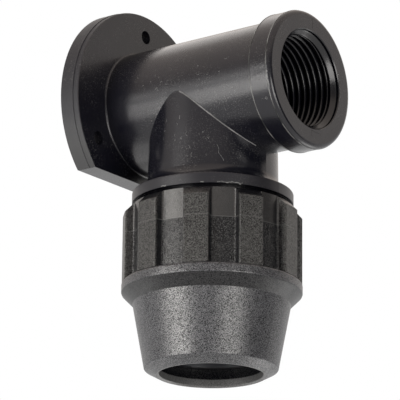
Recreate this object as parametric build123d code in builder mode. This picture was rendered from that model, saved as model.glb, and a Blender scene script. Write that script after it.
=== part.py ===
from build123d import *
from math import hypot, radians, tan
import os

# Wall-mounted tap elbow for 25 mm plastic pipe, with a 3/4 inch parallel tap thread.
# Millimetres. The origin is the middle of the flange's wall face, +X points from the wall to the
# tap and +Z is up, so the pipe enters from below.

# Tap socket and the barrel behind it
tap_thread_radius = 13.22
tap_thread_length = 17.0
tap_mouth_chamfer = 0.2
barrel_wall = 3.73
collar_step = 1.4
collar_length = 6.6
collar_back_round = 0.2
collar_lip_round = 1.2
leg_to_face = 31.1
waterway_radius = 10.0
leg_waterway_inset = 0.5

# Wall flange and its cored back
wall_to_leg = 28.9
flange_radius = 28.6
flange_thickness = 5.7
flange_lip_depth = 1.7
flange_lip_inset = 0.15
flange_edge_round = 0.2
flange_flat_margin = 2.55
screw_count = 3
screw_hole_radius = 1.85
screw_edge_distance = 6.0
barrel_root_round = 0.45
back_core_wall = 3.75
back_core_floor = 4.9
back_core_round = 1.5

# Leg and the shoulder above the nut
leg_inset = 0.15
leg_draft = 0.45
leg_length = 9.15
shoulder_thickness = 3.0
shoulder_edge_round = 0.4
shoulder_land = 0.15

# Pipe, its stop, the seal and the spigot round them
pipe_radius = 12.5
pipe_clearance = 0.2
pipe_stop_wall = 2.78
seal_section_radius = 1.6
seal_seat_depth = 11.5
seal_gap = 0.05
spigot_wall = 1.9
spigot_length = 18.4
spigot_end_chamfer = 0.8

# Thrust bush
bush_clearance = 0.2
bush_flange_inset = 0.3
bush_flange_thickness = 1.8

# Grip ring
grip_gap = 0.2
grip_rim_height = 0.3
grip_length = 19.9
grip_slit_width = 4.0
grip_slit_angle = 60.0
tooth_count = 5
tooth_depth = 0.7
tooth_tip_clearance = 0.3

# Compression nut
nut_gap = 1.1
nut_thread_depth = 1.5
nut_wall = 1.8
rib_count = 10
rib_first_angle = 7.9
rib_height = 2.1
rib_face_width = 6.6
rib_draft_angle = 6.0
rib_root_round = 0.7
rib_edge_round = 0.35
rib_length = 20.4
ring_step = 0.3
ring_height = 2.5
ring_edge_round = 0.6
ring_chamfer = 3.0
taper_length = 17.0
nose_height = 1.65
nose_width = 3.9
nose_edge_round = 0.4
mouth_clearance = 1.0
mouth_rim_width = 0.8
mouth_edge_chamfer = 0.4
mouth_land_height = 2.15
seat_end_step = 1.5
seat_spread = 3.6

# Radii about the barrel's axis, and places along it from the wall
barrel_radius = tap_thread_radius + barrel_wall
collar_radius = barrel_radius + collar_step
back_core_radius = barrel_radius - back_core_wall
screw_circle_radius = flange_radius - screw_edge_distance
flange_flat_drop = barrel_radius + flange_flat_margin
wall_to_face = wall_to_leg + leg_to_face
waterway_end = wall_to_leg - waterway_radius
back_core_depth = waterway_end - back_core_floor

# Radii about the leg's axis
leg_waterway_radius = waterway_radius - leg_waterway_inset
leg_top_radius = barrel_radius - leg_inset
leg_base_radius = leg_top_radius + leg_draft
pipe_socket_radius = pipe_radius + pipe_clearance
seal_middle_radius = pipe_socket_radius + seal_gap + seal_section_radius
seal_bore_radius = seal_middle_radius + seal_section_radius + seal_gap
spigot_radius = seal_bore_radius + spigot_wall
bush_flange_radius = spigot_radius - bush_flange_inset
nut_bore_radius = spigot_radius + nut_thread_depth
nut_wall_radius = nut_bore_radius + nut_wall
shoulder_radius = nut_wall_radius
leg_cove_radius = shoulder_radius - shoulder_edge_round - shoulder_land - leg_base_radius
rib_face_radius = nut_wall_radius + rib_height
ring_radius = rib_face_radius + ring_step
taper_top_radius = ring_radius - ring_chamfer
mouth_radius = pipe_radius + mouth_clearance
mouth_rim_radius = mouth_radius + mouth_rim_width
taper_end_radius = mouth_radius + nose_width
seat_end_radius = mouth_radius + seat_end_step
seat_top_radius = seat_end_radius + seat_spread

# Heights along the leg's axis, from the barrel's axis down
pipe_stop = -tap_thread_radius - pipe_stop_wall
shoulder_top = -barrel_radius - leg_length
shoulder_underside = shoulder_top - shoulder_thickness
spigot_end = shoulder_underside - spigot_length
seal_seat = spigot_end + seal_seat_depth
seal_middle = seal_seat - seal_gap - seal_section_radius
bush_top = seal_middle - seal_section_radius - seal_gap
bush_flange_top = spigot_end - seal_gap
bush_underside = bush_flange_top - bush_flange_thickness
grip_top = bush_underside - grip_gap
grip_end = grip_top - grip_length
seat_top = grip_top - grip_rim_height
nut_top = shoulder_underside - nut_gap
ring_top = nut_top - rib_length
ring_underside = ring_top - ring_height
taper_top = ring_underside - ring_chamfer
taper_end = taper_top - taper_length
nose_end = taper_end - nose_height
mouth_land_top = nose_end + mouth_land_height

leg_axis = Axis((wall_to_leg, 0, 0), (0, 0, 1))
leg_section = Plane(origin=(wall_to_leg, 0, 0), x_dir=(1, 0, 0), z_dir=(0, -1, 0))

os.makedirs("parts", exist_ok=True)

# Body: one moulding, from the wall flange to the tap socket, with the leg and spigot below it
with BuildPart() as body:
    for rim_radius, rim_front in (
        (flange_radius, flange_thickness - flange_lip_depth),
        (flange_radius - flange_lip_inset, flange_thickness),
    ):
        with BuildSketch(Plane.YZ):
            Circle(rim_radius)
            with Locations((0, -flange_flat_drop)):
                Rectangle(
                    2 * flange_radius,
                    flange_radius,
                    align=(Align.CENTER, Align.MAX),
                    mode=Mode.SUBTRACT,
                )
        extrude(amount=rim_front)
    flange_front = body.faces().sort_by(Axis.X)[-1]
    fillet(flange_front.edges(), flange_edge_round)

    # Straight barrel and the socket's collar, turned about the barrel's axis
    barrel_root = flange_thickness + barrel_root_round
    root_radius = barrel_radius + barrel_root_round
    collar_back = wall_to_face - collar_length
    with BuildSketch(Plane.XZ) as barrel_outline:
        with BuildLine():
            Polyline((0, 0), (0, root_radius), (flange_thickness, root_radius))
            TangentArc((flange_thickness, root_radius), (barrel_root, barrel_radius), tangent=(0, -1))
            Polyline(
                (barrel_root, barrel_radius),
                (collar_back, barrel_radius),
                (collar_back, collar_radius),
                (wall_to_face, collar_radius),
                (wall_to_face, 0),
                (0, 0),
            )
        make_face()
        for corner, edge_round in (
            ((collar_back, collar_radius), collar_back_round),
            ((wall_to_face, collar_radius), collar_lip_round),
        ):
            fillet(barrel_outline.vertices().sort_by_distance(corner)[0], edge_round)
    revolve(axis=Axis.X)

    # Leg with a little draft, the shoulder above the nut and the spigot that carries the nut's thread
    with BuildSketch(leg_section) as leg_outline:
        with BuildLine():
            Polyline(
                (0, 0),
                (leg_top_radius, 0),
                (leg_base_radius, shoulder_top),
                (shoulder_radius, shoulder_top),
                (shoulder_radius, shoulder_underside),
                (spigot_radius, shoulder_underside),
                (spigot_radius, spigot_end + spigot_end_chamfer),
                (spigot_radius - spigot_end_chamfer, spigot_end),
                (0, spigot_end),
                close=True,
            )
        make_face()
        fillet(leg_outline.vertices().group_by(Axis.Y)[-2].sort_by(Axis.X)[0], leg_cove_radius)
        fillet(leg_outline.vertices().group_by(Axis.X)[-1].sort_by(Axis.Y)[-1], shoulder_edge_round)
    revolve(axis=leg_axis)

    # Tap thread bore, and the waterway from it to the middle of the leg
    thread_end = wall_to_face - tap_thread_length
    with BuildSketch(Plane.XZ):
        with BuildLine():
            Polyline(
                (wall_to_face, 0),
                (wall_to_face, tap_thread_radius + tap_mouth_chamfer),
                (wall_to_face - tap_mouth_chamfer, tap_thread_radius),
                (thread_end, tap_thread_radius),
                (thread_end - tap_thread_radius + waterway_radius, waterway_radius),
                (waterway_end, waterway_radius),
                (waterway_end, 0),
                close=True,
            )
        make_face()
    revolve(axis=Axis.X, mode=Mode.SUBTRACT)

    # Waterway, pipe socket with its stop, and the counterbore for the seal and the bush
    with BuildSketch(leg_section):
        with BuildLine():
            Polyline(
                (0, 0),
                (leg_waterway_radius, 0),
                (leg_waterway_radius, pipe_stop),
                (pipe_socket_radius, pipe_stop),
                (pipe_socket_radius, seal_seat),
                (seal_bore_radius, seal_seat),
                (seal_bore_radius, spigot_end),
                (0, spigot_end),
                close=True,
            )
        make_face()
    revolve(axis=leg_axis, mode=Mode.SUBTRACT)

    # Cored back of the flange, and its screw holes
    with BuildSketch(Plane.XZ):
        with BuildLine():
            Polyline(
                (0, 0),
                (0, back_core_radius),
                (back_core_depth - back_core_round, back_core_radius),
            )
            CenterArc(
                (back_core_depth - back_core_round, back_core_radius - back_core_round),
                back_core_round,
                0,
                90,
            )
            Polyline((back_core_depth, back_core_radius - back_core_round), (back_core_depth, 0), (0, 0))
        make_face()
    revolve(axis=Axis.X, mode=Mode.SUBTRACT)
    with BuildSketch(Plane.YZ):
        with PolarLocations(screw_circle_radius, screw_count, start_angle=90):
            Circle(screw_hole_radius)
    extrude(amount=flange_thickness, mode=Mode.SUBTRACT)

body.part.label = "body"
export_step(body.part, "parts/body.step")

# Seal ring in the counterbore
with BuildPart() as seal:
    with BuildSketch(leg_section):
        with Locations((seal_middle_radius, seal_middle)):
            Circle(seal_section_radius)
    revolve(axis=leg_axis)

seal.part.label = "o_ring"
export_step(seal.part, "parts/o_ring.step")

# Thrust bush: a sleeve behind the seal, with a flange under the spigot's end
with BuildPart() as bush:
    with BuildSketch(leg_section):
        with BuildLine():
            Polyline(
                (pipe_socket_radius + seal_gap, bush_top),
                (seal_bore_radius - bush_clearance, bush_top),
                (seal_bore_radius - bush_clearance, bush_flange_top),
                (bush_flange_radius, bush_flange_top),
                (bush_flange_radius, bush_underside),
                (pipe_socket_radius + seal_gap, bush_underside),
                close=True,
            )
        make_face()
    revolve(axis=leg_axis)

bush.part.label = "thrust_bush"
export_step(bush.part, "parts/thrust_bush.step")

# Grip ring: a split cone with saw teeth that point up the pipe
seat_slope = (seat_top_radius - seat_end_radius) / (seat_top - mouth_land_top)
grip_top_radius = seat_top_radius - grip_gap
grip_end_radius = seat_top_radius - (seat_top - grip_end) * seat_slope - grip_gap
tooth_tip_radius = pipe_radius + tooth_tip_clearance
tooth_pitch = grip_length / tooth_count
with BuildPart() as grip:
    with BuildSketch(leg_section):
        with BuildLine():
            tooth_points = []
            for tooth in range(tooth_count):
                tooth_end = grip_end + tooth * tooth_pitch
                tooth_points.append((tooth_tip_radius + tooth_depth, tooth_end))
                tooth_points.append((tooth_tip_radius, tooth_end + tooth_pitch))
            Polyline(
                *tooth_points,
                (grip_top_radius, grip_top),
                (grip_top_radius, seat_top),
                (grip_end_radius, grip_end),
                close=True,
            )
        make_face()
    revolve(axis=leg_axis)
    slit_direction = Vector(1, 0, 0).rotate(Axis.Z, grip_slit_angle)
    slit_plane = Plane(origin=(wall_to_leg, 0, grip_end), x_dir=slit_direction, z_dir=(0, 0, 1))
    with BuildSketch(slit_plane):
        Rectangle(2 * grip_top_radius, grip_slit_width, align=(Align.MIN, Align.CENTER))
    extrude(amount=grip_length, mode=Mode.SUBTRACT)

grip.part.label = "grip_ring"
export_step(grip.part, "parts/grip_ring.step")

# Compression nut: ribbed crown over the thread, a ring below the ribs and a tapering end
crown_direction = Vector(1, 0, 0).rotate(Axis.Z, rib_first_angle)
crown_plane = Plane(origin=(wall_to_leg, 0, ring_top), x_dir=crown_direction, z_dir=(0, 0, 1))
rib_spread = (rib_face_radius - nut_bore_radius) * tan(radians(rib_draft_angle))
rib_half_root = rib_face_width / 2 + rib_spread
rib_corner_radius = hypot(rib_face_radius, rib_face_width / 2)
with BuildPart() as nut:
    with BuildSketch(crown_plane) as crown:
        Circle(nut_wall_radius)
        with PolarLocations(0, rib_count):
            Polygon(
                (nut_bore_radius, -rib_half_root),
                (rib_face_radius, -rib_face_width / 2),
                (rib_face_radius, rib_face_width / 2),
                (nut_bore_radius, rib_half_root),
                align=None,
            )
        fillet(crown.vertices().group_by(SortBy.DISTANCE)[0], rib_root_round)
        fillet(crown.vertices().group_by(SortBy.DISTANCE)[-1], rib_edge_round)
    extrude(amount=rib_length)

    # The ribs' tops slope in at 45 degrees to the wall
    with BuildSketch(leg_section):
        with BuildLine():
            Polyline(
                (0, nut_top),
                (nut_wall_radius, nut_top),
                (rib_corner_radius, nut_top - rib_corner_radius + nut_wall_radius),
                (rib_corner_radius, ring_top),
                (0, ring_top),
                close=True,
            )
        make_face()
    revolve(axis=leg_axis, mode=Mode.INTERSECT)

    with BuildSketch(leg_section) as lower_nut:
        with BuildLine():
            Polyline(
                (0, ring_top),
                (ring_radius, ring_top),
                (ring_radius, ring_underside),
                (taper_top_radius, taper_top),
                (taper_end_radius, taper_end),
                (mouth_rim_radius, nose_end),
                (0, nose_end),
                close=True,
            )
        make_face()
        fillet(lower_nut.vertices().sort_by(Axis.Y)[2], nose_edge_round)
        fillet(lower_nut.vertices().sort_by(Axis.X)[-2:], ring_edge_round)
    revolve(axis=leg_axis)

    # Thread bore, the cone that closes the grip ring, and the pipe mouth with its land
    with BuildSketch(leg_section):
        with BuildLine():
            Polyline(
                (0, nut_top),
                (nut_bore_radius, nut_top),
                (nut_bore_radius, seat_top),
                (seat_top_radius, seat_top),
                (seat_end_radius, mouth_land_top),
                (mouth_radius, mouth_land_top),
                (mouth_radius, nose_end + mouth_edge_chamfer),
                (mouth_radius + mouth_edge_chamfer, nose_end),
                (0, nose_end),
                close=True,
            )
        make_face()
    revolve(axis=leg_axis, mode=Mode.SUBTRACT)

nut.part.label = "compression_nut"
export_step(nut.part, "parts/compression_nut.step")
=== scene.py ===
import bpy
from math import cos, pi, radians, sin, sqrt, tau
from mathutils import Matrix, Vector
from random import Random


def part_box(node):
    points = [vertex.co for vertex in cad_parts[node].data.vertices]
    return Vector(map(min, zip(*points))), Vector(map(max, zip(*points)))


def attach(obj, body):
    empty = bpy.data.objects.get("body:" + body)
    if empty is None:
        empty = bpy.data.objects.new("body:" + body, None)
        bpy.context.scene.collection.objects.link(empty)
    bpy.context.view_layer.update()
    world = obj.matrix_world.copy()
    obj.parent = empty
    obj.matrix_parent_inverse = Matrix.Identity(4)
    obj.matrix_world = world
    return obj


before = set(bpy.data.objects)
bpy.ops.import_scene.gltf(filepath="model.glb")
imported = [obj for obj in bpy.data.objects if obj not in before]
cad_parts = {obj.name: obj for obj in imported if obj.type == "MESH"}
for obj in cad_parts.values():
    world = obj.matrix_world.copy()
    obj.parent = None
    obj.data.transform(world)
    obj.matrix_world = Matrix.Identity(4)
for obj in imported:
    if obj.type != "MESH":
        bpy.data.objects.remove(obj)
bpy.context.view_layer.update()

# Body: the wall flange, barrel, tap socket, leg and spigot of the elbow in one piece.
# Black polypropylene, injection moulded in a lightly blasted tool, satin and a little dusty.
# It is screwed to the wall through its flange, and everything else hangs from it.
MM = 0.001
flange_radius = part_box("body")[1][1]
flange_front = 5.6 * MM
socket_bore_radius = 13.35 * MM
socket_bore_start = 42.0 * MM
shoulder_inner_radius = 21.0 * MM
shoulder_outer_radius = 21.5 * MM
shoulder_top = -25.9 * MM
leg_axis_x = (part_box("compression_nut")[0][0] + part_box("compression_nut")[1][0]) / 2
body_dark = (0.0042, 0.0042, 0.0074)
body_pale = (0.0088, 0.0086, 0.0134)
dust_pale = (0.13, 0.125, 0.118)
# The next tone is painted shade: near-black for the inside of the socket's bore.
bore_painted_shade = (0.0026, 0.0026, 0.0048)
# The next tone is painted light: a paler grey for the lower part of the flange's rim.
lower_rim_painted_light = (0.045, 0.0445, 0.045)
body_sheen = (1.0, 0.975, 0.95, 1.0)


def new_finish(name):
    """A new finish: its material, its shader and the place on the piece that its patterns read."""
    material = bpy.data.materials.new(name)
    material.use_nodes = True
    shader = material.node_tree.nodes["Principled BSDF"]
    place = material.node_tree.nodes.new("ShaderNodeTexCoord").outputs["Object"]
    return material, shader, place


def set_inputs(material, node, inputs):
    """Sets inputs of a node, each by a link from a socket or by a plain value."""
    for name, value in inputs.items():
        if isinstance(value, bpy.types.NodeSocket):
            material.node_tree.links.new(value, node.inputs[name])
        else:
            node.inputs[name].default_value = value


def add_node(material, kind, inputs, output=0, **settings):
    """Adds a node with its settings and inputs, and gives back one of its outputs."""
    added = material.node_tree.nodes.new(kind)
    for name, value in settings.items():
        setattr(added, name, value)
    set_inputs(material, added, inputs)
    return added.outputs[output]


def speckle(material, place, size, detail=2.0):
    """Soft random cloud with features of about the given size."""
    return add_node(
        material, "ShaderNodeTexNoise", {"Vector": place, "Scale": 0.5 / size, "Detail": detail}
    )


def ramp(material, value, low, high, start=0.0, end=1.0):
    """Follows a value from low to high, and gives start to end."""
    return add_node(
        material,
        "ShaderNodeMapRange",
        {"Value": value, "From Min": low, "From Max": high, "To Min": start, "To Max": end},
    )


def above(material, value, edge, blur):
    """A mask that is none up to an edge, and whole a blur past it."""
    return ramp(material, value, edge, edge + blur)


def below(material, value, edge, blur):
    """A mask that is whole up to an edge, and none a blur past it."""
    return ramp(material, value, edge, edge + blur, 1.0, 0.0)


def times(material, first, second):
    """Two numbers multiplied, or the place where two masks meet."""
    return add_node(material, "ShaderNodeMath", {0: first, 1: second}, operation="MULTIPLY")


def plus(material, first, second):
    """Two numbers added."""
    return add_node(material, "ShaderNodeMath", {0: first, 1: second}, operation="ADD")


def blend_tone(material, share, first, second):
    """Goes from the first tone to the second by a share. A tone is a colour or a socket."""
    share_in, first_in, second_in, tone_out = 0, 6, 7, 2
    inputs = {share_in: share}
    for tone_in, tone in ((first_in, first), (second_in, second)):
        inputs[tone_in] = tone if isinstance(tone, bpy.types.NodeSocket) else (*tone, 1.0)
    return add_node(material, "ShaderNodeMix", inputs, tone_out, data_type="RGBA")


def relief(material, height, depth, normal=None):
    """Raises the surface by a height pattern of the given depth."""
    inputs = {"Height": height, "Strength": 1.0, "Distance": depth}
    if normal is not None:
        inputs["Normal"] = normal
    return add_node(material, "ShaderNodeBump", inputs)


def axes(material, place):
    """The X, Y and Z of a place."""
    split = material.node_tree.nodes.new("ShaderNodeSeparateXYZ")
    set_inputs(material, split, {0: place})
    return split.outputs


def vector_math(material, operation, inputs, output=0):
    """Works on places or directions."""
    return add_node(material, "ShaderNodeVectorMath", inputs, output, operation=operation)


def axis_distance(material, place, point, across):
    """How far a place is from an axis through a point, along the directions across that axis."""
    apart = vector_math(material, "SUBTRACT", {0: place, 1: point})
    flat = vector_math(material, "MULTIPLY", {0: apart, 1: across})
    return vector_math(material, "LENGTH", {0: flat}, "Value")


def dress(node, material):
    """Gives a piece of the frame its finish."""
    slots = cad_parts[node].data.materials
    slots.clear()
    slots.append(material)


body_finish, body_shader, body_place = new_finish("satin_body")
body_cloud = speckle(body_finish, body_place, 9 * MM, 4.0)
body_grain = speckle(body_finish, body_place, 0.19 * MM)
body_orange_peel = speckle(body_finish, body_place, 1.1 * MM)
body_dust = times(
    body_finish,
    above(body_finish, speckle(body_finish, body_place, 0.14 * MM, 3.0), 0.58, 0.12),
    ramp(body_finish, speckle(body_finish, body_place, 5 * MM, 3.0), 0.42, 0.66, 0.0, 0.8),
)
body_axes = axes(body_finish, body_place)
from_barrel = axis_distance(body_finish, body_place, (0.0, 0.0, 0.0), (0.0, 1.0, 1.0))
from_leg = axis_distance(body_finish, body_place, (leg_axis_x, 0.0, 0.0), (1.0, 1.0, 0.0))
# Painted shade inside the socket's bore, from 42 mm along, where it is also a little glossier.
bore_shade_and_gloss = times(
    body_finish,
    below(body_finish, from_barrel, socket_bore_radius, 0.1 * MM),
    above(body_finish, body_axes["X"], socket_bore_start, 1.0 * MM),
)
body_rim = times(
    body_finish,
    below(body_finish, body_axes["X"], flange_front, 0.1 * MM),
    above(body_finish, from_barrel, flange_radius - 0.4 * MM, 0.1 * MM),
)
# Painted light: the flange's rim is painted paler below 14 mm under the axis, fading out by 6 mm.
lower_rim_light_mask = times(
    body_finish, body_rim, below(body_finish, body_axes["Z"], -14 * MM, 8 * MM)
)
body_shoulder = times(
    body_finish,
    times(
        body_finish,
        above(body_finish, from_leg, shoulder_inner_radius, 0.1 * MM),
        below(body_finish, from_leg, shoulder_outer_radius, 0.2 * MM),
    ),
    below(body_finish, body_axes["Z"], shoulder_top, 0.4 * MM),
)
body_tone = blend_tone(body_finish, body_cloud, body_dark, body_pale)
body_tone = blend_tone(body_finish, body_dust, body_tone, dust_pale)
body_tone = blend_tone(body_finish, bore_shade_and_gloss, body_tone, bore_painted_shade)
body_tone = blend_tone(body_finish, lower_rim_light_mask, body_tone, lower_rim_painted_light)
body_gloss = plus(
    body_finish,
    ramp(body_finish, body_cloud, 0.32, 0.68, 0.19, 0.27),
    ramp(body_finish, body_grain, 0.3, 0.7, -0.03, 0.03),
)
for mask, duller in ((bore_shade_and_gloss, -0.05), (body_rim, 0.34), (body_shoulder, 0.16)):
    body_gloss = plus(body_finish, body_gloss, times(body_finish, mask, duller))
body_relief = relief(body_finish, body_orange_peel, 0.012 * MM)
body_relief = relief(body_finish, body_grain, 0.015 * MM, body_relief)
set_inputs(
    body_finish,
    body_shader,
    {
        "Base Color": body_tone,
        "Roughness": body_gloss,
        "Normal": body_relief,
        "Specular Tint": body_sheen,
    },
)
dress("body", body_finish)

# Tap thread: the parallel pipe thread that the tap screws into, moulded in one with the body.
# A right-hand ridge of 14 turns to the inch, with rounded crests. It starts a few millimetres
# inside the socket's mouth, after a smooth lead-in, and runs out before the bore's end.
socket_face_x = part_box("body")[1][0]
tap_root_radius = 13.25 * MM
tap_crest_radius = 12.06 * MM
tap_thread_start = 43.7 * MM
lead_in_buried = 13.30 * MM


def thread_ridge(name, root, crest, root_half, crest_half, pitch, turns, edge_round, sunk_ends):
    """One tooth's outline, screwed up round Z from the origin, with ends sunk into the wall."""
    steps_per_turn = 80
    sink_reach = 9 * MM
    end_slack = 0.05 * MM
    smooth_angle = radians(40)
    bpy.ops.object.select_all(action="DESELECT")
    bpy.ops.mesh.primitive_plane_add(
        size=1.0, location=((root + crest) / 2, 0.0, 0.0), rotation=(pi / 2, 0.0, 0.0)
    )
    ridge = bpy.context.object
    ridge.name = name
    ridge.scale = (abs(root - crest), 2 * root_half, 1.0)
    bpy.ops.object.transform_apply(location=True, rotation=True, scale=True)
    bpy.ops.object.mode_set(mode="EDIT")
    bpy.ops.mesh.select_all(action="DESELECT")
    bpy.ops.object.mode_set(mode="OBJECT")
    for vertex in ridge.data.vertices:
        vertex.select = abs(vertex.co.x - crest) < abs(vertex.co.x - root)
    bpy.ops.object.mode_set(mode="EDIT")
    bpy.ops.mesh.select_mode(type="VERT")
    bpy.ops.transform.resize(value=(1.0, 1.0, crest_half / root_half))
    bpy.ops.mesh.bevel(offset=edge_round, segments=3, affect="VERTICES")
    bpy.ops.mesh.select_all(action="SELECT")
    bpy.ops.mesh.delete(type="ONLY_FACE")
    bpy.ops.object.mode_set(mode="OBJECT")
    screw = ridge.modifiers.new("turns", "SCREW")
    screw.axis = "Z"
    screw.angle = turns * tau
    screw.screw_offset = turns * pitch
    screw.steps = screw.render_steps = int(turns * steps_per_turn)
    bpy.ops.object.modifier_apply(modifier=screw.name)
    bpy.ops.object.mode_set(mode="EDIT")
    bpy.ops.mesh.select_all(action="SELECT")
    bpy.ops.mesh.fill_holes(sides=0)
    bpy.ops.mesh.select_all(action="SELECT")
    bpy.ops.mesh.normals_make_consistent(inside=False)
    for sunk_turns in sunk_ends:
        end_angle = sunk_turns * tau
        end_height = sunk_turns * pitch
        outward = Vector((cos(end_angle), sin(end_angle), 0.0))
        bpy.ops.mesh.select_all(action="DESELECT")
        bpy.ops.object.mode_set(mode="OBJECT")
        for vertex in ridge.data.vertices:
            aside = vertex.co - outward * vertex.co.dot(outward)
            aside.z -= end_height
            beside_end = abs(aside.x) + abs(aside.y) < end_slack
            level_with_end = abs(aside.z) <= 1.05 * root_half
            vertex.select = beside_end and level_with_end and vertex.co.dot(outward) > 0.0
        bpy.ops.object.mode_set(mode="EDIT")
        bpy.ops.transform.translate(
            value=outward * (root - crest),
            use_proportional_edit=True,
            use_proportional_connected=True,
            proportional_edit_falloff="SMOOTH",
            proportional_size=sink_reach,
        )
    bpy.ops.object.mode_set(mode="OBJECT")
    bpy.ops.object.shade_smooth_by_angle(angle=smooth_angle)
    return ridge


def lay_along_barrel(piece, start=0.0):
    """Turns a new piece from round Z to round the barrel's axis, from a start along it."""
    piece.rotation_euler = (0.0, pi / 2, 0.0)
    piece.location.x = start
    bpy.ops.object.transform_apply(location=True, rotation=True, scale=True)


tap_thread = thread_ridge(
    "tap_thread",
    root=tap_root_radius,
    crest=tap_crest_radius,
    root_half=0.80 * MM,
    crest_half=0.22 * MM,
    pitch=1.814 * MM,
    turns=7.7,
    edge_round=0.12 * MM,
    sunk_ends=(0.0,),
)
lay_along_barrel(tap_thread, tap_thread_start)
tap_thread.data.materials.append(body_finish)
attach(tap_thread, "elbow")


def turned_ring(name, outline):
    """A closed ring about Z through the outline's radii and heights, pulled from one circle."""
    segments = 192
    smooth_angle = radians(30)
    radius, height = outline[0]
    bpy.ops.object.select_all(action="DESELECT")
    bpy.ops.mesh.primitive_circle_add(
        vertices=segments, radius=radius, location=(0.0, 0.0, height)
    )
    ring = bpy.context.object
    ring.name = name
    bpy.ops.object.transform_apply(location=True, rotation=True, scale=True)
    bpy.ops.object.mode_set(mode="EDIT")
    bpy.ops.mesh.select_mode(type="EDGE")
    bpy.ops.mesh.select_all(action="SELECT")
    for next_radius, next_height in outline[1:]:
        spread = next_radius / radius
        bpy.ops.mesh.extrude_region_move(
            TRANSFORM_OT_translate={"value": (0.0, 0.0, next_height - height)}
        )
        bpy.ops.transform.resize(
            value=(spread, spread, 1.0), center_override=(0.0, 0.0, next_height)
        )
        radius, height = next_radius, next_height
    bpy.ops.mesh.select_all(action="DESELECT")
    bpy.ops.mesh.select_non_manifold()
    bpy.ops.mesh.bridge_edge_loops()
    bpy.ops.mesh.select_all(action="SELECT")
    bpy.ops.mesh.normals_make_consistent(inside=False)
    bpy.ops.object.mode_set(mode="OBJECT")
    bpy.ops.object.shade_smooth_by_angle(angle=smooth_angle)
    return ring


lead_in = turned_ring(
    "tap_lead_in",
    [
        (lead_in_buried, socket_face_x - 0.80 * MM),
        (tap_crest_radius + 0.89 * MM, socket_face_x - 1.25 * MM),
        (tap_crest_radius + 0.14 * MM, socket_face_x - 1.70 * MM),
        (tap_crest_radius, socket_face_x - 1.90 * MM),
        (tap_crest_radius, socket_face_x - 2.20 * MM),
        (tap_crest_radius + 0.10 * MM, socket_face_x - 2.40 * MM),
        (lead_in_buried, socket_face_x - 3.00 * MM),
    ],
)
lay_along_barrel(lead_in)
lead_in.data.materials.append(body_finish)
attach(lead_in, "elbow")

# Flash lines: the thin raised seams that the mould's joints leave on the body.
# They are the same plastic, moulded on, and their pale, broken tone is a painted highlight.
# Two run round the socket's collar, at its back edge and at the start of its lip.
collar_radius = 18.35 * MM
collar_back = 53.52 * MM
collar_lip = 58.75 * MM
seam_buried = collar_radius - 0.2 * MM
seam_height = 0.07 * MM
seam_highlight_dark = (0.012, 0.012, 0.011)
seam_highlight_pale = (0.17, 0.165, 0.155)
seam_finish, seam_shader, seam_place = new_finish("seam_painted_highlight")
seam_highlight_breaks = speckle(seam_finish, seam_place, 1.6 * MM, 4.0)
# Painted highlight: the seams' tone goes from dark to pale in patches along them.
seam_highlight_tone = blend_tone(
    seam_finish, ramp(seam_finish, seam_highlight_breaks, 0.42, 0.62), seam_highlight_dark, seam_highlight_pale
)
seam_gloss = ramp(seam_finish, seam_highlight_breaks, 0.35, 0.65, 0.30, 0.42)
set_inputs(seam_finish, seam_shader, {"Base Color": seam_highlight_tone, "Roughness": seam_gloss})
for seam_name, seam_at, seam_width in (
    ("collar_back_seam", collar_back, 0.13 * MM),
    ("collar_lip_seam", collar_lip, 0.14 * MM),
):
    seam = turned_ring(
        seam_name,
        [
            (seam_buried, seam_at - seam_width),
            (collar_radius + 0.5 * seam_height, seam_at - seam_width),
            (collar_radius + seam_height, seam_at - 0.5 * seam_width),
            (collar_radius + seam_height, seam_at + 0.5 * seam_width),
            (collar_radius + 0.5 * seam_height, seam_at + seam_width),
            (seam_buried, seam_at + seam_width),
        ],
    )
    lay_along_barrel(seam)
    seam.data.materials.append(seam_finish)
    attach(seam, "elbow")

# Crease seams: a thin line of flash on each side, where the mould's halves met in the corner
# between the leg and the barrel on the tap's side.
# They are the body's own plastic, moulded on, and their pale tone is a painted highlight.
barrel_radius = 16.95 * MM
leg_top_radius = 16.80 * MM
leg_draft = 0.45 / 26.1
crease_top = -2.3 * MM
crease_bottom = -16.5 * MM
crease_points = 24
crease_width = 0.36 * MM
crease_highlight_dark = (0.10, 0.098, 0.092)
crease_highlight_pale = (0.26, 0.255, 0.245)


def bead(name, route, thickness):
    """A thin raised line of plastic along a route of five or more points."""
    bpy.ops.object.select_all(action="DESELECT")
    bpy.ops.curve.primitive_nurbs_path_add()
    line = bpy.context.object
    line.name = name
    spline = line.data.splines[0]
    spline.points.add(max(0, len(route) - len(spline.points)))
    for point, place in zip(spline.points, route):
        point.co = (*place, 1.0)
    spline.order_u = 3
    spline.use_endpoint_u = True
    line.data.resolution_u = 4
    line.data.bevel_depth = thickness / 2
    line.data.bevel_resolution = 1
    line.data.use_fill_caps = True
    bpy.ops.object.convert(target="MESH")
    bpy.ops.object.mode_set(mode="EDIT")
    bpy.ops.mesh.select_all(action="SELECT")
    bpy.ops.mesh.remove_doubles(threshold=0.0005 * MM)
    bpy.ops.mesh.normals_make_consistent(inside=False)
    bpy.ops.object.mode_set(mode="OBJECT")
    bpy.ops.object.shade_smooth()
    return bpy.context.object


def leg_radius_at(height):
    """The leg's radius at a height: its draft makes it wider lower down."""
    return leg_top_radius - height * leg_draft


def crease_at(height, side):
    """A place in the corner between leg and barrel on the tap's side."""
    y = sqrt(barrel_radius**2 - height**2)
    return Vector((leg_axis_x + sqrt(leg_radius_at(height) ** 2 - y**2), side * y, height))


crease_finish, crease_shader, crease_place = new_finish("crease_painted_highlight")
crease_highlight_breaks = speckle(crease_finish, crease_place, 2.5 * MM, 3.0)
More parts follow.
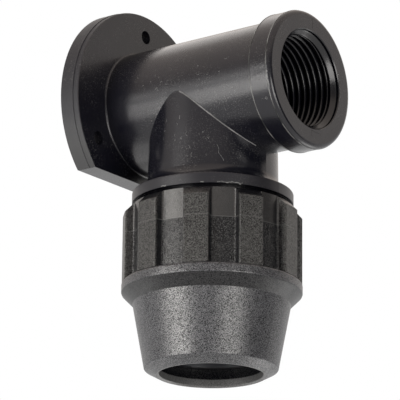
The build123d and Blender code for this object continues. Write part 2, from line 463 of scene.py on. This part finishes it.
# Painted highlight: both tones of the crease seams are pale, mixed in patches along the line.
crease_highlight_tone = blend_tone(
    crease_finish, ramp(crease_finish, crease_highlight_breaks, 0.35, 0.6), crease_highlight_dark, crease_highlight_pale
)
crease_gloss = ramp(crease_finish, crease_highlight_breaks, 0.3, 0.7, 0.22, 0.32)
set_inputs(crease_finish, crease_shader, {"Base Color": crease_highlight_tone, "Roughness": crease_gloss})
crease_step = (crease_bottom - crease_top) / (crease_points - 1)
crease_heights = [crease_top + crease_step * step for step in range(crease_points)]
for side, side_name in ((-1, "left"), (1, "right")):
    crease_route = [crease_at(height, side) for height in crease_heights]
    crease_seam = bead("crease_seam_" + side_name, crease_route, crease_width)
    crease_seam.data.materials.append(crease_finish)
    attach(crease_seam, "elbow")

# Scuffs: fine scrapes on the barrel, collar and leg, a hair of plastic on the leg, and rags of
# flash on the shoulder and round the socket's mouth.
# All are the body's own plastic, dragged up pale by the mould, by handling and in its box.
scuff_sunk = 0.015 * MM
shoulder_rag_radius = 21.2 * MM
mouth_rag_radius = 13.62 * MM
mouth_rag_x = socket_face_x - 0.04 * MM
along_stroke = (-1.0, -0.5, 0.0, 0.5, 1.0)
scuff_dark = (0.02, 0.02, 0.019)
scuff_pale = (0.22, 0.215, 0.205)


def on_barrel(x, angle, radius):
    """A place on a round about the barrel's axis, its angle turned from +Y towards +Z."""
    return Vector((x, radius * cos(radians(angle)), radius * sin(radians(angle))))


def on_leg(height, angle, radius):
    """A place on a round about the leg's axis, its angle turned from +X towards +Y."""
    forward = radius * cos(radians(angle))
    return Vector((leg_axis_x + forward, radius * sin(radians(angle)), height))


def joined(name, pieces):
    """Joins like pieces into one."""
    bpy.ops.object.select_all(action="DESELECT")
    for piece in pieces:
        piece.select_set(True)
    bpy.context.view_layer.objects.active = pieces[0]
    bpy.ops.object.join()
    whole = bpy.context.object
    whole.name = name
    return whole


scuff_finish, scuff_shader, scuff_place = new_finish("scraped_pale")
scuff_break = speckle(scuff_finish, scuff_place, 0.5 * MM, 3.0)
scuff_tone = blend_tone(
    scuff_finish, ramp(scuff_finish, scuff_break, 0.40, 0.60), scuff_dark, scuff_pale
)
scuff_gloss = ramp(scuff_finish, scuff_break, 0.3, 0.7, 0.42, 0.58)
set_inputs(scuff_finish, scuff_shader, {"Base Color": scuff_tone, "Roughness": scuff_gloss})
hand = Random(41)
scuffs = []
for count, middle_x, middle_angle, spread_x, spread_angle, skin_radius in (
    (9, 24.8, 177.0, 2.2, 5.0, barrel_radius),
    (6, 21.0, 168.0, 3.0, 9.0, barrel_radius),
    (6, 40.0, 172.0, 6.0, 14.0, barrel_radius),
    (5, 56.4, -152.0, 1.0, 4.0, collar_radius),
):
    for stroke in range(count):
        x = middle_x + hand.uniform(-spread_x, spread_x)
        angle = middle_angle + hand.uniform(-spread_angle, spread_angle)
        run_x = hand.uniform(-0.5, 0.5)
        run_angle = hand.uniform(-2.0, 2.0)
        radius = skin_radius - scuff_sunk
        route = [
            on_barrel((x + run_x * part) * MM, angle + run_angle * part * part, radius)
            for part in along_stroke
        ]
        scuffs.append(bead("scuff", route, hand.uniform(0.07, 0.13) * MM))
for count, middle_z, middle_angle, spread_z, spread_angle in (
    (12, -12.0, -92.0, 5.0, 12.0),
    (7, -17.0, -70.0, 4.0, 14.0),
):
    for stroke in range(count):
        height = middle_z + hand.uniform(-spread_z, spread_z)
        angle = middle_angle + hand.uniform(-spread_angle, spread_angle)
        run_z = hand.uniform(-0.7, 0.7)
        run_angle = hand.uniform(-1.6, 1.6)
        radius = leg_radius_at(height * MM) - scuff_sunk
        route = [
            on_leg((height + run_z * part) * MM, angle + run_angle * part * part, radius)
            for part in along_stroke
        ]
        scuffs.append(bead("scuff", route, hand.uniform(0.06, 0.12) * MM))
hair_route = [
    on_leg(-17.6 * MM, -50.5, 17.10 * MM),
    on_leg(-18.6 * MM, -48.0, 17.10 * MM),
    on_leg(-19.8 * MM, -49.5, 17.12 * MM),
    on_leg(-20.8 * MM, -46.0, 17.14 * MM),
    on_leg(-22.0 * MM, -44.2, 17.16 * MM),
]
scuffs.append(bead("scuff", hair_route, 0.10 * MM))
for height, angle, half_turn in (
    (-28.9, -47.5, 3.0),
    (-29.0, -42.5, 2.2),
    (-28.8, -38.0, 2.6),
    (-29.0, -34.0, 1.6),
    (-28.9, -90.2, 2.0),
    (-29.0, -61.0, 1.4),
):
    route = [
        on_leg(
            (height + 0.25 * hand.uniform(-1, 1)) * MM,
            angle + half_turn * part,
            shoulder_rag_radius,
        )
        for part in along_stroke
    ]
    scuffs.append(bead("scuff", route, hand.uniform(0.22, 0.34) * MM))
for angle in (26.0, 20.0, 13.0, 9.0, 5.0, -1.0, -6.0, -9.0):
    route = [
        on_barrel(
            mouth_rag_x,
            angle + 1.3 * part,
            mouth_rag_radius + 0.2 * hand.uniform(-1, 1) * MM,
        )
        for part in along_stroke
    ]
    scuffs.append(bead("scuff", route, hand.uniform(0.14, 0.26) * MM))
scuff_marks = joined("scuff_marks", scuffs)
scuff_marks.data.materials.append(scuff_finish)
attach(scuff_marks, "elbow")

# Weld marks: matt dark lines on the socket's face, one above the mouth and two below it.
# They are the body's own plastic, left where two streams of it met in the mould.
weld_x = socket_face_x - 0.12 * MM
weld_width = 0.28 * MM
weld_dark = (0.0008, 0.0008, 0.001)
weld_pale = (0.003, 0.003, 0.0035)
weld_finish, weld_shader, weld_place = new_finish("dark_weld")
weld_break = speckle(weld_finish, weld_place, 0.6 * MM, 3.0)
weld_tone = blend_tone(weld_finish, weld_break, weld_dark, weld_pale)
weld_gloss = ramp(weld_finish, weld_break, 0.3, 0.7, 0.65, 0.85)
set_inputs(
    weld_finish,
    weld_shader,
    {"Base Color": weld_tone, "Roughness": weld_gloss, "Specular IOR Level": 0.15},
)
welds = []
for weld_line in (
    ((0.95, 17.0), (0.90, 16.2), (1.0, 15.4), (0.92, 14.6), (0.95, 13.9)),
    ((0.46, -13.6), (0.55, -14.0), (0.40, -14.5), (0.52, -15.0), (0.60, -15.4)),
    ((0.60, -13.9), (1.4, -13.75), (2.3, -14.1), (3.2, -13.85), (4.1, -13.9)),
):
    route = [(weld_x, y * MM, z * MM) for y, z in weld_line]
    welds.append(bead("weld", route, weld_width))
weld_marks = joined("weld_marks", welds)
weld_marks.data.materials.append(weld_finish)
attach(weld_marks, "elbow")

# Spigot thread: the coarse thread on the spigot, under the body's shoulder.
# It is moulded in one with the body, in the same plastic.
# The nut runs on it, so it shows only when the nut is screwed down.
nut_pitch = 3.5 * MM
coarse_root_half = 1.1 * MM
coarse_crest_half = 0.45 * MM
coarse_edge_round = 0.15 * MM
spigot_turns = 4.1
spigot_thread_start = -46.0 * MM
spigot_thread = thread_ridge(
    "spigot_thread",
    root=17.86 * MM,
    crest=19.1 * MM,
    root_half=coarse_root_half,
    crest_half=coarse_crest_half,
    pitch=nut_pitch,
    turns=spigot_turns,
    edge_round=coarse_edge_round,
    sunk_ends=(0.0, spigot_turns),
)
spigot_thread.location = (leg_axis_x, 0.0, spigot_thread_start)
bpy.ops.object.transform_apply(location=True, rotation=True, scale=True)
spigot_thread.data.materials.append(body_finish)
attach(spigot_thread, "elbow")

# Seal ring: a black nitrile ring of round section in the spigot's counterbore.
# Moulded, dull and faintly powdered, it is squeezed onto the pipe by the bush.
seal_dark = (0.010, 0.010, 0.010)
seal_pale = (0.024, 0.024, 0.024)
seal_finish, seal_shader, seal_place = new_finish("dull_seal")
seal_powder = speckle(seal_finish, seal_place, 0.5 * MM, 3.0)
seal_tone = blend_tone(seal_finish, seal_powder, seal_dark, seal_pale)
seal_gloss = ramp(seal_finish, seal_powder, 0.3, 0.7, 0.50, 0.66)
set_inputs(seal_finish, seal_shader, {"Base Color": seal_tone, "Roughness": seal_gloss})
dress("o_ring", seal_finish)

# Thrust bush and grip ring: the bush presses on the seal, and the split ring's teeth bite the pipe.
# Both are smooth black mouldings, the ring in hard acetal, loose inside the nut.
inner_dark = (0.022, 0.022, 0.027)
inner_pale = (0.034, 0.034, 0.040)
inner_finish, inner_shader, inner_place = new_finish("smooth_inner")
inner_cloud = speckle(inner_finish, inner_place, 4 * MM, 3.0)
inner_grain = speckle(inner_finish, inner_place, 0.3 * MM)
inner_tone = blend_tone(inner_finish, inner_cloud, inner_dark, inner_pale)
inner_gloss = ramp(inner_finish, inner_cloud, 0.3, 0.7, 0.28, 0.40)
inner_relief = relief(inner_finish, inner_grain, 0.006 * MM)
set_inputs(
    inner_finish,
    inner_shader,
    {"Base Color": inner_tone, "Roughness": inner_gloss, "Normal": inner_relief},
)
dress("thrust_bush", inner_finish)
dress("grip_ring", inner_finish)

# Compression nut: ribbed crown, ring and tapering end, which wedge the grip ring onto the pipe.
# Black polypropylene from a spark-eroded tool, so its skin glitters. The tool's upper part is
# polished, so the floors between the ribs are smooth above a fine line near their tops.
nut_split = -38.0 * MM
nut_split_blur = 0.06 * MM
nut_line_edge = 0.16 * MM
nut_floor_radius = 21.4 * MM
nut_face_radius = 22.7 * MM
nut_rib_foot = -50.9 * MM
nut_ring_low = -56.2 * MM
nut_ring_middle = -53.2 * MM
nut_end = -72.7 * MM
nut_land_radius = 14.0 * MM
nut_facet_size = 0.13 * MM
nut_pit_size = 0.21 * MM
nut_facet_lean = 0.06
glint_full = (1.0, 0.975, 0.93)
glint_low_floor = (0.60, 0.585, 0.56)
sheen_under_shade = (0.36, 0.35, 0.335)
glint_dull = (0.08, 0.078, 0.075)
cone_dark = (0.012, 0.012, 0.013)
cone_pale = (0.078, 0.077, 0.0845)
under_shade_dark = (0.008, 0.008, 0.0085)
under_shade_pale = (0.032, 0.0315, 0.033)
recess_shade_dark = (0.0015, 0.0016, 0.0024)
recess_shade_pale = (0.007, 0.0071, 0.0095)
face_dark = (0.004, 0.0039, 0.0038)
face_pale = (0.026, 0.0255, 0.0247)
spark_pale = (0.06, 0.059, 0.057)
nut_inside_shade = (0.005, 0.0052, 0.0075)
nut_land_painted_light = (0.10, 0.098, 0.096)


def minus(material, first, second):
    """One number less another."""
    return add_node(material, "ShaderNodeMath", {0: first, 1: second}, operation="SUBTRACT")


def larger(material, first, second):
    """The larger of two numbers, or the place where either of two masks is."""
    return add_node(material, "ShaderNodeMath", {0: first, 1: second}, operation="MAXIMUM")


def cells(material, place, size):
    """Small cells of about the given size, each with a random colour."""
    return add_node(
        material, "ShaderNodeTexVoronoi", {"Vector": place, "Scale": 1.0 / size}, "Color"
    )


nut_finish, nut_shader, nut_place = new_finish("eroded_nut")
nut_height = axes(nut_finish, nut_place)["Z"]
nut_radius = axis_distance(nut_finish, nut_place, (leg_axis_x, 0.0, 0.0), (1.0, 1.0, 0.0))
nut_on_floor = below(nut_finish, nut_radius, nut_floor_radius, 0.3 * MM)
nut_on_ribs = above(nut_finish, nut_height, nut_rib_foot, 0.4 * MM)
nut_on_faces = times(
    nut_finish, nut_on_ribs, above(nut_finish, nut_radius, nut_face_radius, 0.4 * MM)
)
nut_upper = above(nut_finish, nut_height, nut_split - nut_split_blur, 2 * nut_split_blur)
nut_lower = below(nut_finish, nut_height, nut_split - nut_split_blur, 2 * nut_split_blur)
nut_polish = times(nut_finish, nut_on_floor, nut_upper)
nut_low_floor = times(nut_finish, times(nut_finish, nut_on_ribs, nut_on_floor), nut_lower)
nut_from_split = add_node(
    nut_finish,
    "ShaderNodeMath",
    {0: minus(nut_finish, nut_height, nut_split)},
    operation="ABSOLUTE",
)
nut_line = ramp(nut_finish, nut_from_split, nut_split_blur, nut_line_edge, 1.0, 0.0)
# Painted shade: the ring's underside, 53.2 mm to 56.2 mm down, is painted darker and duller in
# sheen.
nut_under_shade = times(
    nut_finish,
    above(nut_finish, nut_height, nut_ring_low, 0.2 * MM),
    below(nut_finish, nut_height, nut_ring_middle, 0.2 * MM),
)
nut_at_end = below(nut_finish, nut_height, nut_end, 0.1 * MM)
nut_wall_middle = ramp(nut_finish, nut_height, -73.1 * MM, -50.6 * MM, 16.2 * MM, 20.6 * MM)
nut_outside = larger(
    nut_finish,
    above(nut_finish, minus(nut_finish, nut_radius, nut_wall_middle), -0.2 * MM, 0.4 * MM),
    nut_at_end,
)
# Painted light: the land within 14 mm of the axis, below 72.7 mm down, is painted pale as if lit
# from below.
nut_land_light = times(
    nut_finish, below(nut_finish, nut_radius, nut_land_radius, 0.2 * MM), nut_at_end
)
nut_cloud = speckle(nut_finish, nut_place, 7 * MM, 3.0)
nut_facet = cells(nut_finish, nut_place, nut_facet_size)
nut_pit = cells(nut_finish, nut_place, nut_pit_size)
nut_speck = above(nut_finish, axes(nut_finish, nut_facet)["X"], 0.25, 0.5)
nut_spark = times(
    nut_finish, above(nut_finish, axes(nut_finish, nut_pit)["X"], 0.70, 0.15), nut_low_floor
)
nut_rough = ramp(nut_finish, nut_polish, 0.0, 1.0, 1.0, 0.3)
nut_dull = times(nut_finish, below(nut_finish, nut_speck, 0.0, 1.0), nut_rough)
nut_glint = blend_tone(nut_finish, nut_low_floor, glint_full, glint_low_floor)
nut_glint = blend_tone(nut_finish, nut_under_shade, nut_glint, sheen_under_shade)
nut_glint = blend_tone(nut_finish, nut_dull, nut_glint, glint_dull)
# Painted shade: floors and walls between the ribs are painted darker than the rib faces, with
# random grain.
nut_recess_shade_tone = blend_tone(nut_finish, nut_speck, recess_shade_dark, recess_shade_pale)
nut_recess_shade_tone = blend_tone(nut_finish, nut_spark, nut_recess_shade_tone, spark_pale)
nut_face_tone = blend_tone(nut_finish, nut_speck, face_dark, face_pale)
nut_crown_tone = blend_tone(nut_finish, nut_on_faces, nut_recess_shade_tone, nut_face_tone)
nut_under_shade_tone = blend_tone(nut_finish, nut_speck, under_shade_dark, under_shade_pale)
nut_cone_tone = blend_tone(nut_finish, nut_speck, cone_dark, cone_pale)
nut_cone_tone = blend_tone(nut_finish, nut_under_shade, nut_cone_tone, nut_under_shade_tone)
# Painted shade: below the crown, the nut's inner surfaces are painted near-black.
nut_cone_tone = blend_tone(nut_finish, nut_outside, nut_inside_shade, nut_cone_tone)
nut_cone_tone = blend_tone(nut_finish, nut_land_light, nut_cone_tone, nut_land_painted_light)
nut_tone = blend_tone(nut_finish, nut_on_ribs, nut_cone_tone, nut_crown_tone)
nut_tone = blend_tone(nut_finish, nut_line, nut_tone, spark_pale)
nut_gloss = plus(
    nut_finish,
    plus(
        nut_finish,
        ramp(nut_finish, nut_on_ribs, 0.0, 1.0, 0.40, 0.27),
        times(nut_finish, nut_on_faces, 0.17),
    ),
    ramp(nut_finish, nut_cloud, 0.3, 0.7, -0.03, 0.03),
)
nut_lean = vector_math(nut_finish, "SUBTRACT", {0: nut_facet, 1: (0.5, 0.5, 0.5)})
nut_lean = vector_math(
    nut_finish, "SCALE", {0: nut_lean, "Scale": times(nut_finish, nut_rough, nut_facet_lean)}
)
nut_skin = nut_finish.node_tree.nodes.new("ShaderNodeNewGeometry").outputs["Normal"]
nut_relief = vector_math(nut_finish, "ADD", {0: nut_skin, 1: nut_lean})
nut_relief = vector_math(nut_finish, "NORMALIZE", {0: nut_relief})
set_inputs(
    nut_finish,
    nut_shader,
    {
        "Base Color": nut_tone,
        "Roughness": nut_gloss,
        "Normal": nut_relief,
        "Specular Tint": nut_glint,
        "Specular IOR Level": 0.95,
        "IOR": 1.62,
    },
)
dress("compression_nut", nut_finish)

# Nut thread: the coarse thread inside the nut's crown, which runs on the spigot's thread.
# It is moulded in one with the nut, in the same plastic.
nut_thread_turns = 4.3
nut_thread_start = -47.75 * MM
nut_thread = thread_ridge(
    "nut_thread",
    root=19.45 * MM,
    crest=18.2 * MM,
    root_half=coarse_root_half,
    crest_half=coarse_crest_half,
    pitch=nut_pitch,
    turns=nut_thread_turns,
    edge_round=coarse_edge_round,
    sunk_ends=(0.0, nut_thread_turns),
)
nut_thread.location = (leg_axis_x, 0.0, nut_thread_start)
bpy.ops.object.transform_apply(location=True, rotation=True, scale=True)
nut_thread.data.materials.append(nut_finish)
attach(nut_thread, "nut")

# Studio floor: a wide sheet of pale card, well below the fitting, which hangs as on its wall.
# It shows white in mirrors and far away, and keeps the fitting's soft shadow below it.
floor_drop = 0.8
floor_size = 6.0
card_grey = (0.86, 0.86, 0.86)
card_white = (0.90, 0.90, 0.90)
bpy.ops.object.select_all(action="DESELECT")
bpy.ops.mesh.primitive_plane_add(size=floor_size, location=(0.0, 0.0, -floor_drop))
floor = bpy.context.object
floor.name = "floor"
bpy.ops.object.transform_apply(location=True, rotation=True, scale=True)
floor_finish, floor_shader, floor_place = new_finish("pale_floor")
floor_cloud = speckle(floor_finish, floor_place, 0.2, 3.0)
floor_tone = blend_tone(floor_finish, floor_cloud, card_grey, card_white)
set_inputs(floor_finish, floor_shader, {"Base Color": floor_tone, "Roughness": 0.9})
floor_ray = floor_finish.node_tree.nodes.new("ShaderNodeLightPath").outputs
floor_far = vector_math(floor_finish, "LENGTH", {0: floor_place}, "Value")
floor_faded = ramp(floor_finish, floor_far, 0.9, 2.4, 0.75, 1.0)
floor_plain = larger(
    floor_finish,
    larger(floor_finish, floor_ray["Is Glossy Ray"], floor_ray["Is Transmission Ray"]),
    times(floor_finish, floor_ray["Is Camera Ray"], floor_faded),
)
floor_glow = add_node(floor_finish, "ShaderNodeEmission", {})
floor_show = add_node(
    floor_finish,
    "ShaderNodeMixShader",
    {0: floor_plain, 1: floor_shader.outputs[0], 2: floor_glow},
)
floor_out = floor_finish.node_tree.nodes["Material Output"]
set_inputs(floor_finish, floor_out, {"Surface": floor_show})
floor.data.materials.append(floor_finish)

# Camera: below the fitting, to one side and in front of the socket, with a long lens.
# It looks up, and its angle, distance, roll and framing are the photograph's.
camera_turn = radians(36.82)
camera_tilt = radians(-16.72)
camera_roll = radians(0.63)
camera_distance = 0.770
frame_shift = (-3.65 * MM, -26.3 * MM)
focal_pixels = 2904.84
frame_pixels = 400


def way_to(turn, rise):
    """The direction that is turned from -Y towards +X, and raised."""
    return Vector((sin(turn) * cos(rise), -cos(turn) * cos(rise), sin(rise)))


back = way_to(camera_turn, camera_tilt)
level = Vector((cos(camera_turn), sin(camera_turn), 0.0))
upright = back.cross(level)
right = level * cos(camera_roll) + upright * sin(camera_roll)
up = upright * cos(camera_roll) - level * sin(camera_roll)
camera = bpy.data.cameras.new("camera")
camera.sensor_width = 36.0
camera.lens = focal_pixels / frame_pixels * camera.sensor_width
camera_rig = bpy.data.objects.new("camera", camera)
bpy.context.scene.collection.objects.link(camera_rig)
eye = Vector((leg_axis_x, 0.0, 0.0)) + back * camera_distance
eye += right * frame_shift[0] + up * frame_shift[1]
camera_facing = Matrix((right, up, back)).transposed().to_4x4()
camera_rig.matrix_world = Matrix.Translation(eye) @ camera_facing
bpy.context.scene.camera = camera_rig

# Lamps: seven soft lamps face the fitting, three from the left, one from the right, one from
# above and behind, and two weak ones from low behind.
# Each is a rectangle of white cloth with a lamp behind it, and all are at the same distance.
lamp_distance = 0.8
lamp_aim = Vector((leg_axis_x, 0.0, -25.0 * MM))


def softbox(name, turn, tilt, width, height, brightness):
    """A rectangular lamp that faces the fitting, turned right of the camera and tilted up."""
    lamp = bpy.data.lights.new(name, "AREA")
    lamp.shape = "RECTANGLE"
    lamp.size = width
    lamp.size_y = height
    lamp.energy = brightness * pi * width * height
    offset = way_to(camera_turn + radians(turn), radians(tilt)) * lamp_distance
    rig = bpy.data.objects.new(name, lamp)
    bpy.context.scene.collection.objects.link(rig)
    rig.location = lamp_aim + offset
    rig.rotation_euler = offset.to_track_quat("Z", "Y").to_euler()


softbox("left_softbox", -49, -6.5, 0.36, 0.42, 8.6)
softbox("left_side_strip", -68, -7.0, 0.10, 0.32, 6.8)
softbox("left_strip", -62, 13.0, 0.40, 0.10, 2.8)
softbox("right_softbox", 32, -11, 0.46, 0.36, 5.6)
softbox("top_back_softbox", -158, 48, 0.36, 0.30, 0.8)
softbox("left_low_fill", -126, -42, 0.46, 0.36, 1.0)
softbox("right_low_fill", 132, -40, 0.44, 0.40, 2.2)

# Room: plain white to the eye and through glass, and a weak even light on everything.
# In mirrors it is white behind the fitting and overhead, and dimmer round the sides, as a studio
# with a white sweep, a lit ceiling and grey walls is.
room_light = 0.3
room_dim = 0.12
room_bright = 0.75
ceiling_bright = 0.95
sweep_white = (1.0, 1.0, 1.0)
ceiling_warm = (1.0, 0.90, 0.83)
world = bpy.data.worlds.new("studio")
bpy.context.scene.world = world
world.use_nodes = True
world.node_tree.nodes.clear()
ray = world.node_tree.nodes.new("ShaderNodeLightPath").outputs
way = world.node_tree.nodes.new("ShaderNodeTexCoord").outputs["Generated"]
way_rise = axes(world, way)["Z"]


def way_along(direction):
    """How far the way of a ray goes along a direction."""
    return vector_math(world, "DOT_PRODUCT", {0: way, 1: direction}, "Value")


way_turn = add_node(
    world,
    "ShaderNodeMath",
    {0: way_along(level), 1: way_along((level.y, -level.x, 0.0))},
    operation="ARCTAN2",
)
backdrop_glow = ramp(world, way_along(back), -0.10, -0.34)
ceiling_glow = ramp(world, way_rise, 0.32, 0.55, 0.0, ceiling_bright)
room_glow = ramp(world, way_turn, radians(-125), radians(-92), room_dim, room_bright)
for turn_from, turn_to, fade in ((-75, -35, 0.13), (4, 28, 0.38), (50, 78, 0.14)):
    dimmer = ramp(world, way_turn, radians(turn_from), radians(turn_to), 0.0, -fade)
    room_glow = plus(world, room_glow, dimmer)
mirrored = larger(world, larger(world, backdrop_glow, ceiling_glow), room_glow)
overhead = times(world, ray["Is Glossy Ray"], above(world, way_rise, 0.15, 0.30))
seen = add_node(
    world,
    "ShaderNodeBackground",
    {
        "Color": blend_tone(world, overhead, sweep_white, ceiling_warm),
        "Strength": ramp(world, ray["Is Glossy Ray"], 0.0, 1.0, 1.0, mirrored),
    },
)
lit = add_node(world, "ShaderNodeBackground", {"Strength": room_light})
plain = larger(
    world,
    ray["Is Camera Ray"],
    larger(world, ray["Is Glossy Ray"], ray["Is Transmission Ray"]),
)
either = add_node(world, "ShaderNodeMixShader", {0: plain, 1: lit, 2: seen})
world_out = world.node_tree.nodes.new("ShaderNodeOutputWorld")
set_inputs(world, world_out, {"Surface": either})
bpy.context.scene.view_settings.view_transform = "Standard"
